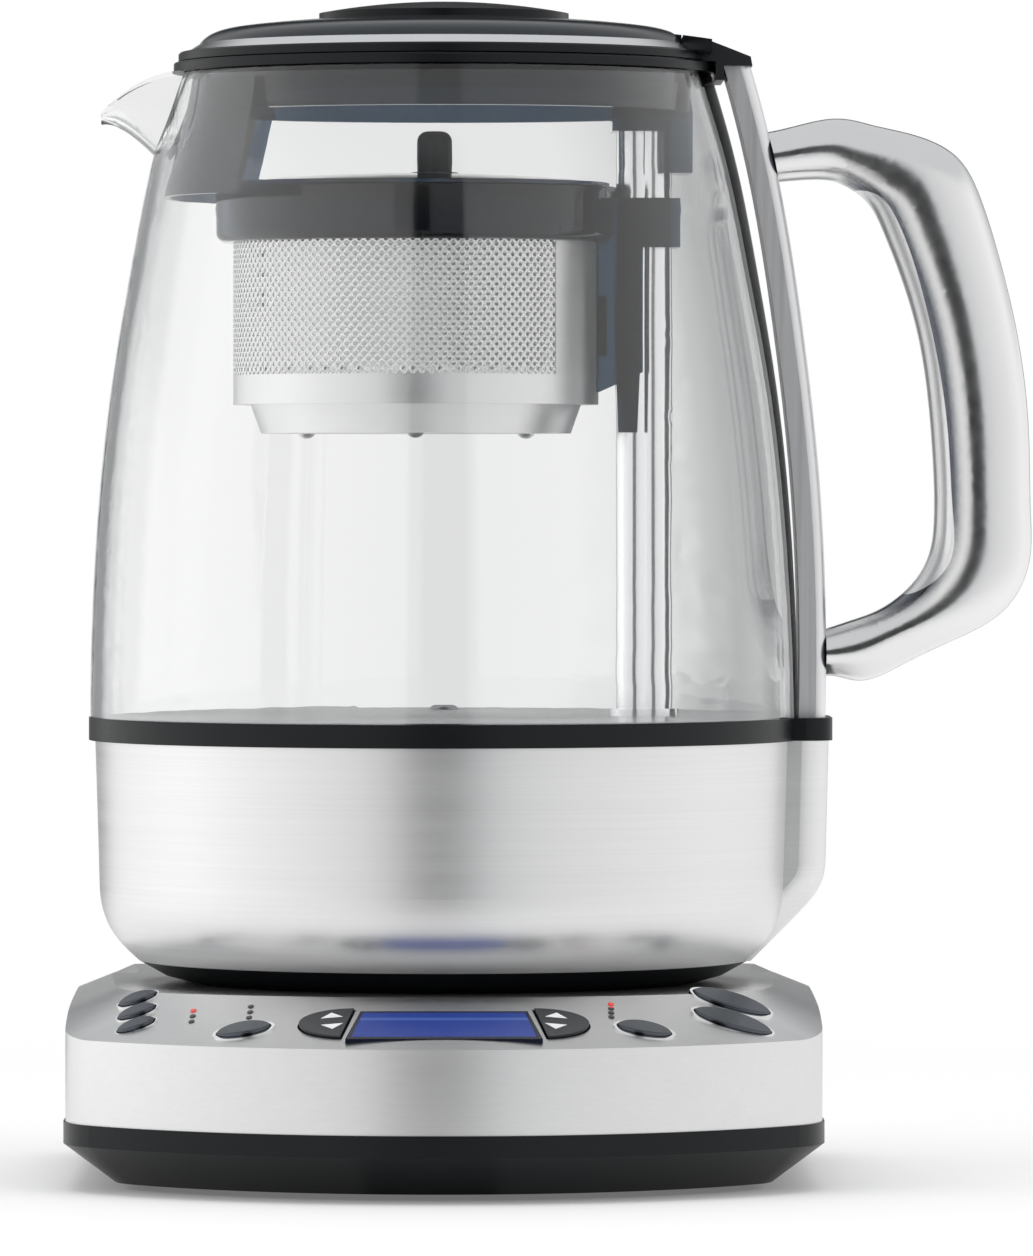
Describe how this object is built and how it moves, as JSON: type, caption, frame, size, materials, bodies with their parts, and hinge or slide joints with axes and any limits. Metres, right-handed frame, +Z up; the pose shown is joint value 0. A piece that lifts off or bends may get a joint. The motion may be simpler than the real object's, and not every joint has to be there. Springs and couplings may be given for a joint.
{
  "type": "automatic tea maker",
  "caption": "Automatic tea maker: glass brewing jug with steel shell, lid, handle and a lifting basket, on a powered base with a sloped control deck.",
  "frame": {"origin": "on the jug's axis at table height, the centre of the rubber foot ring's lower face", "axes": "+Z up, +X towards the handle, -X towards the spout, -Y towards the control deck"},
  "size_m": [0.2257, 0.2, 0.2753],
  "materials": {
    "brushed_steel": "brushed",
    "black_plastic": "satin black",
    "dark_plastic": "gloss dark grey",
    "grey_plastic": "satin dark grey",
    "smoke_plastic": "smoke grey, translucent",
    "black_rubber": "matte",
    "clear_glass": "clear",
    "polished_metal": "polished",
    "cast_aluminium": "brushed",
    "key_chrome": "satin chrome",
    "screw_steel": "plain",
    "contact_brass": "plated",
    "display_blue": "gloss blue window",
    "led_lens": "dark red lens",
    "board": "green laminate",
    "motor_case": "plain",
    "magnet": "dark"
  },
  "bodies": {
    "base": {"base_cover": "brushed_steel", "base_tray": "black_plastic", "foot_ring": "black_rubber", "tray_screws": "screw_steel", "deck_socket": "black_plastic", "contact_rings": "contact_brass", "control_boards": "board", "power_board": "board", "relay": "black_plastic", "tact_switches": "black_plastic", "display_module": "black_plastic", "display_window": "display_blue", "indicator_leds": "led_lens", "button_bezels": "key_chrome", "rocker_posts": "black_plastic", "cord_gland": "black_rubber"},
    "jug": {"jug_glass": "clear_glass", "jug_shell": "brushed_steel", "shell_band": "black_rubber", "jug_foot": "black_plastic", "heating_plate": "brushed_steel", "heating_element": "cast_aluminium", "temperature_probe": "brushed_steel", "jug_plug": "black_plastic", "jug_contacts": "contact_brass", "rim_collar": "black_plastic", "inner_sleeve": "smoke_plastic", "spout_filter": "smoke_plastic", "handle_strap": "cast_aluminium", "handle": "polished_metal", "handle_grip": "polished_metal", "handle_cap": "black_plastic", "handle_screws": "screw_steel", "lift_rail": "brushed_steel", "lift_motor": "motor_case"},
    "lid": {"lid_dome": "dark_plastic", "lid_trim_ring": "brushed_steel", "lid_frame": "black_plastic", "lid_knob": "black_plastic", "lid_plug": "black_plastic", "lid_seal": "black_rubber"},
    "basket": {"basket_ring": "smoke_plastic", "basket_mesh": "brushed_steel", "basket_floor": "brushed_steel", "basket_magnet": "magnet"},
    "basket_cover": {"basket_lid": "smoke_plastic", "basket_lid_knob": "black_plastic"},
    "carriage": {"magnet_carriage": "magnet"},
    "screw": {"lead_screw": "screw_steel"},
    "auto_start_key_body": {"auto_start_key": "key_chrome"},
    "keep_warm_key_body": {"keep_warm_key": "key_chrome"},
    "basket_key_body": {"basket_key": "key_chrome"},
    "tea_type_key_body": {"tea_type_key": "key_chrome"},
    "strength_key_body": {"strength_key": "key_chrome"},
    "hot_water_key_body": {"hot_water_key": "key_chrome"},
    "start_key_body": {"start_key": "key_chrome"},
    "temperature_rocker_body": {"temperature_rocker": "grey_plastic"},
    "time_rocker_body": {"time_rocker": "grey_plastic"}
  },
  "joints": [
    {"name": "auto_start_key_press", "type": "slide", "parent": "base", "child": "auto_start_key_body", "axis": [0.3322, 0.3628, -0.8707], "range_m": [0, 0.0008], "stiffness_N_per_m": 1500, "springref_m": -0.0003},
    {"name": "keep_warm_key_press", "type": "slide", "parent": "base", "child": "keep_warm_key_body", "axis": [0.3322, 0.3628, -0.8707], "range_m": [0, 0.0008], "stiffness_N_per_m": 1500, "springref_m": -0.0003},
    {"name": "basket_key_press", "type": "slide", "parent": "base", "child": "basket_key_body", "axis": [0.3322, 0.3628, -0.8707], "range_m": [0, 0.0008], "stiffness_N_per_m": 1500, "springref_m": -0.0003},
    {"name": "tea_type_key_press", "type": "slide", "parent": "base", "child": "tea_type_key_body", "axis": [0.1729, 0.3596, -0.917], "range_m": [0, 0.0008], "stiffness_N_per_m": 1500, "springref_m": -0.0003},
    {"name": "strength_key_press", "type": "slide", "parent": "base", "child": "strength_key_body", "axis": [-0.173, 0.3598, -0.9169], "range_m": [0, 0.0008], "stiffness_N_per_m": 1500, "springref_m": -0.0003},
    {"name": "hot_water_key_press", "type": "slide", "parent": "base", "child": "hot_water_key_body", "axis": [-0.2999, 0.3676, -0.8803], "range_m": [0, 0.0008], "stiffness_N_per_m": 1500, "springref_m": -0.0003},
    {"name": "start_key_press", "type": "slide", "parent": "base", "child": "start_key_body", "axis": [-0.2999, 0.3676, -0.8803], "range_m": [0, 0.0008], "stiffness_N_per_m": 1500, "springref_m": -0.0003},
    {"name": "temperature_rocker_rock", "type": "hinge", "parent": "base", "child": "temperature_rocker_body", "pos_m": [-0.02674, -0.08356, 0.03831], "axis": [0.9758, -0.2186, -0.0073], "range_deg": [-2.5, 2.5], "stiffness_Nm_per_rad": 0.3},
    {"name": "time_rocker_rock", "type": "hinge", "parent": "base", "child": "time_rocker_body", "pos_m": [0.02674, -0.08356, 0.03831], "axis": [0.9758, 0.2186, 0.0073], "range_deg": [-2.5, 2.5], "stiffness_Nm_per_rad": 0.3},
    {"name": "jug_lift", "type": "slide", "parent": "base", "child": "jug", "axis": [0, 0, 1], "range_m": [0, 0.08]},
    {"name": "lid_lift", "type": "slide", "parent": "jug", "child": "lid", "axis": [0, 0, 1], "range_m": [0, 0.1]},
    {"name": "basket_lift", "type": "slide", "parent": "jug", "child": "basket", "axis": [0, 0, 1], "range_m": [-0.062, 0]},
    {"name": "basket_cover_lift", "type": "slide", "parent": "basket", "child": "basket_cover", "axis": [0, 0, 1], "range_m": [0, 0.05]},
    {"name": "carriage_lift", "type": "slide", "parent": "jug", "child": "carriage", "axis": [0, 0, 1], "range_m": [-0.062, 0]},
    {"name": "screw_spin", "type": "hinge", "parent": "jug", "child": "screw", "pos_m": [0.047, 0, 0.1079], "axis": [0, 0, 1], "range_deg": [-1117, 0]}
  ],
  "couplings": [
    {"joint": "carriage_lift", "follows": "basket_lift", "ratio": 1},
    {"joint": "screw_spin", "follows": "basket_lift", "rad_per_m": 314.16},
    {"joint": "basket_cover_lift", "follows": "lid_lift", "ratio": 0.5}
  ]
}
